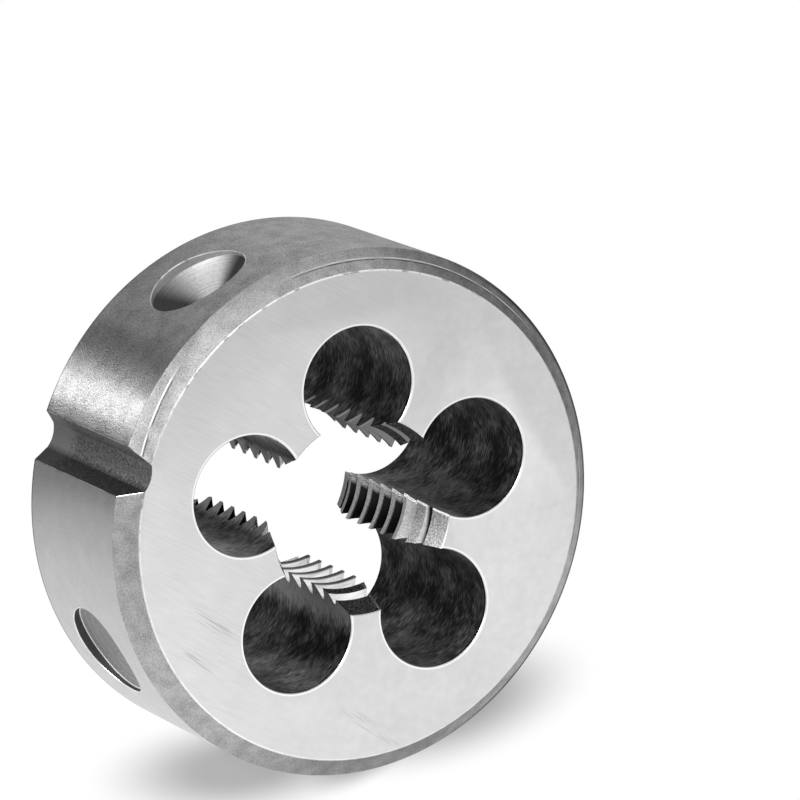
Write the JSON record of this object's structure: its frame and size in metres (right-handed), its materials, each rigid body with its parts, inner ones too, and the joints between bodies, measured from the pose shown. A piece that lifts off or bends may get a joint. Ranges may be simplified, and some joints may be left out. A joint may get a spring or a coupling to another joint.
{
  "type": "round threading die",
  "caption": "Round adjustable threading die: a steel disc with chip flutes around a toothed bore that cuts an outside thread, and a slot and screw seats in its rim.",
  "frame": {"origin": "centre of the back face, on the axis of the thread", "axes": "+Z along the axis of the thread, from the back face to the front face; -Y from the axis to the adjusting slot in the rim"},
  "size_m": [0.045, 0.0449, 0.018],
  "materials": {
    "die_steel": "ground and turned high-speed steel"
  },
  "bodies": {
    "root": {"threading_die": "die_steel"}
  },
  "joints": []
}
